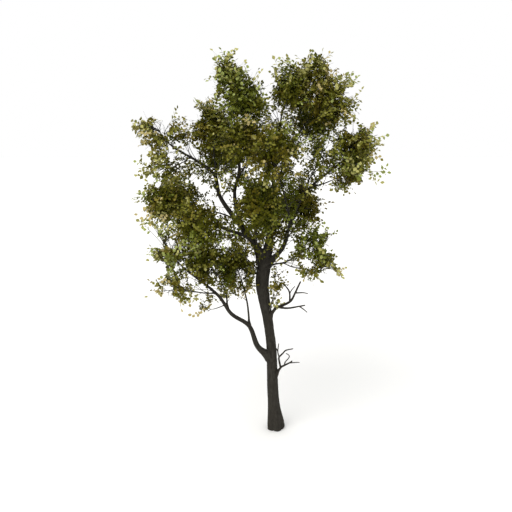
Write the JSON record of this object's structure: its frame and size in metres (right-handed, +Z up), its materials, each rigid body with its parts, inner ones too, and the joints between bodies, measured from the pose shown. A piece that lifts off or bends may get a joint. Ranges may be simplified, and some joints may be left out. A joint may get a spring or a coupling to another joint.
{
  "type": "ironwood tree",
  "caption": "Broadleaf tree with a flared leaning trunk, forking boughs, bare dead limbs and an open crown of leafy masses turning amber.",
  "frame": {"origin": "middle of the trunk's flat cut at ground level", "axes": "+Z straight up along the tree's height, -Y towards the side that the picture shows, +X to the right of that view"},
  "size_m": [5.608, 4.2282, 8.9963],
  "materials": {
    "bark": "rough",
    "dead_wood": "rough",
    "leaf_green": "matte",
    "leaf_olive": "matte",
    "leaf_amber": "matte"
  },
  "bodies": {
    "root": {"trunk": "bark", "bough_back": "bark", "bough_back_left": "bark", "bough_back_right": "bark", "bough_front": "bark", "bough_high_front": "bark", "bough_high_left": "bark", "bough_inner_left": "bark", "bough_leader_right": "bark", "bough_left_level": "bark", "bough_left_mid": "bark", "bough_left_rise": "bark", "bough_left_slender": "bark", "bough_low_left": "bark", "bough_low_left_droop": "bark", "bough_low_left_riser": "bark", "bough_low_left_side": "bark", "bough_low_left_upright": "bark", "bough_mid_back": "bark", "bough_mid_front": "bark", "bough_mid_right": "bark", "bough_peak": "bark", "bough_right_arm_low": "bark", "bough_right_inner": "bark", "bough_right_low": "bark", "bough_right_low_outer": "bark", "bough_right_rise": "bark", "bough_top_left": "bark", "bough_upper_left_low": "bark", "dead_limb": "dead_wood", "dead_twig": "dead_wood", "foliage_back": "leaf_olive", "foliage_back_left": "leaf_green", "foliage_back_right": "leaf_green", "foliage_front": "leaf_amber", "foliage_hanging": "leaf_amber", "foliage_high_front": "leaf_amber", "foliage_high_left": "leaf_olive", "foliage_left_high": "leaf_amber", "foliage_left_mid": "leaf_olive", "foliage_low_left": "leaf_green", "foliage_low_left_inner": "leaf_green", "foliage_low_left_outer": "leaf_olive", "foliage_low_left_tip": "leaf_amber", "foliage_mid_back": "leaf_green", "foliage_mid_front": "leaf_green", "foliage_mid_right": "leaf_amber", "foliage_peak": "leaf_olive", "foliage_right_arm": "leaf_amber", "foliage_right_arm_low": "leaf_olive", "foliage_right_inner": "leaf_olive", "foliage_right_low": "leaf_green", "foliage_right_low_tip": "leaf_green", "foliage_spire": "leaf_olive", "foliage_top_left": "leaf_green", "foliage_top_middle": "leaf_olive", "foliage_top_right": "leaf_amber", "foliage_trunk_sprig": "leaf_amber", "foliage_upper_left": "leaf_olive", "foliage_upper_left_low": "leaf_olive"}
  },
  "joints": []
}
